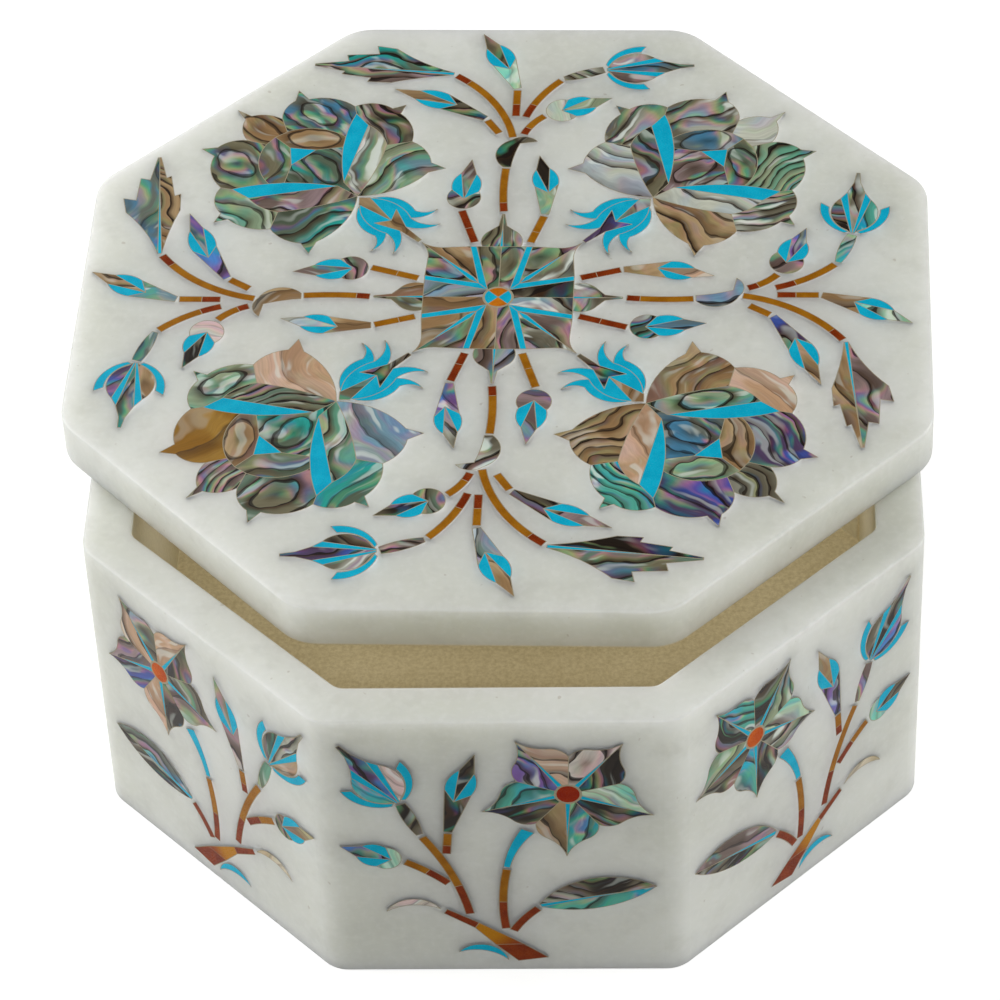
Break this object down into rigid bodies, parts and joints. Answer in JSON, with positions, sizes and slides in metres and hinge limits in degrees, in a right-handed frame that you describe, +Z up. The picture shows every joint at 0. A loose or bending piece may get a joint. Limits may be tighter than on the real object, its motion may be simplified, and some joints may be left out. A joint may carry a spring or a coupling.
{
  "type": "inlaid marble box",
  "caption": "Octagonal white marble box with a loose lid, inlaid with flowers cut from abalone shell, turquoise and ochre and red stone; it holds small things.",
  "frame": {"origin": "centre of the box's flat underside", "axes": "+Z up, -Y out of the front wall, +X to the right of it; the lid lies pushed back along +Y"},
  "size_m": [0.1058, 0.1183, 0.0523],
  "materials": {
    "white_marble": "polished, faintly clouded",
    "abalone_shell": "polished abalone shell, iridescent with dark growth lines",
    "turquoise_stone": "polished turquoise",
    "ochre_stone": "polished ochre stone",
    "red_stone": "polished red-brown stone"
  },
  "bodies": {
    "base": {"base_body": "white_marble", "front_left_wall_ochre_stems": "ochre_stone", "front_left_wall_red_stone": "red_stone", "front_left_wall_shell": "abalone_shell", "front_left_wall_turquoise": "turquoise_stone", "front_right_wall_ochre_stems": "ochre_stone", "front_right_wall_red_stone": "red_stone", "front_right_wall_shell": "abalone_shell", "front_right_wall_turquoise": "turquoise_stone", "front_wall_ochre_stems": "ochre_stone", "front_wall_red_stone": "red_stone", "front_wall_shell": "abalone_shell", "front_wall_turquoise": "turquoise_stone", "left_wall_ochre_stems": "ochre_stone", "left_wall_red_stone": "red_stone", "left_wall_shell": "abalone_shell", "left_wall_turquoise": "turquoise_stone", "rear_left_wall_ochre_stems": "ochre_stone", "rear_left_wall_red_stone": "red_stone", "rear_left_wall_shell": "abalone_shell", "rear_left_wall_turquoise": "turquoise_stone", "rear_right_wall_ochre_stems": "ochre_stone", "rear_right_wall_red_stone": "red_stone", "rear_right_wall_shell": "abalone_shell", "rear_right_wall_turquoise": "turquoise_stone", "rear_wall_ochre_stems": "ochre_stone", "rear_wall_red_stone": "red_stone", "rear_wall_shell": "abalone_shell", "rear_wall_turquoise": "turquoise_stone", "right_wall_ochre_stems": "ochre_stone", "right_wall_red_stone": "red_stone", "right_wall_shell": "abalone_shell", "right_wall_turquoise": "turquoise_stone"},
    "lid": {"lid_slab": "white_marble", "lid_east_branch_ochre_stems": "ochre_stone", "lid_east_branch_shell": "abalone_shell", "lid_east_branch_turquoise": "turquoise_stone", "lid_medallion_shell": "abalone_shell", "lid_medallion_turquoise": "turquoise_stone", "lid_ne_rose_shell": "abalone_shell", "lid_ne_rose_turquoise": "turquoise_stone", "lid_north_branch_ochre_stems": "ochre_stone", "lid_north_branch_shell": "abalone_shell", "lid_north_branch_turquoise": "turquoise_stone", "lid_nw_rose_shell": "abalone_shell", "lid_nw_rose_turquoise": "turquoise_stone", "lid_red_stone": "red_stone", "lid_se_rose_shell": "abalone_shell", "lid_se_rose_turquoise": "turquoise_stone", "lid_south_branch_ochre_stems": "ochre_stone", "lid_south_branch_shell": "abalone_shell", "lid_south_branch_turquoise": "turquoise_stone", "lid_sw_rose_shell": "abalone_shell", "lid_sw_rose_turquoise": "turquoise_stone", "lid_west_branch_ochre_stems": "ochre_stone", "lid_west_branch_shell": "abalone_shell", "lid_west_branch_turquoise": "turquoise_stone"}
  },
  "joints": [
    {"name": "lid_lift", "type": "slide", "parent": "base", "child": "lid", "axis": [0, 0, 1], "range_m": [0, 0.06]}
  ]
}
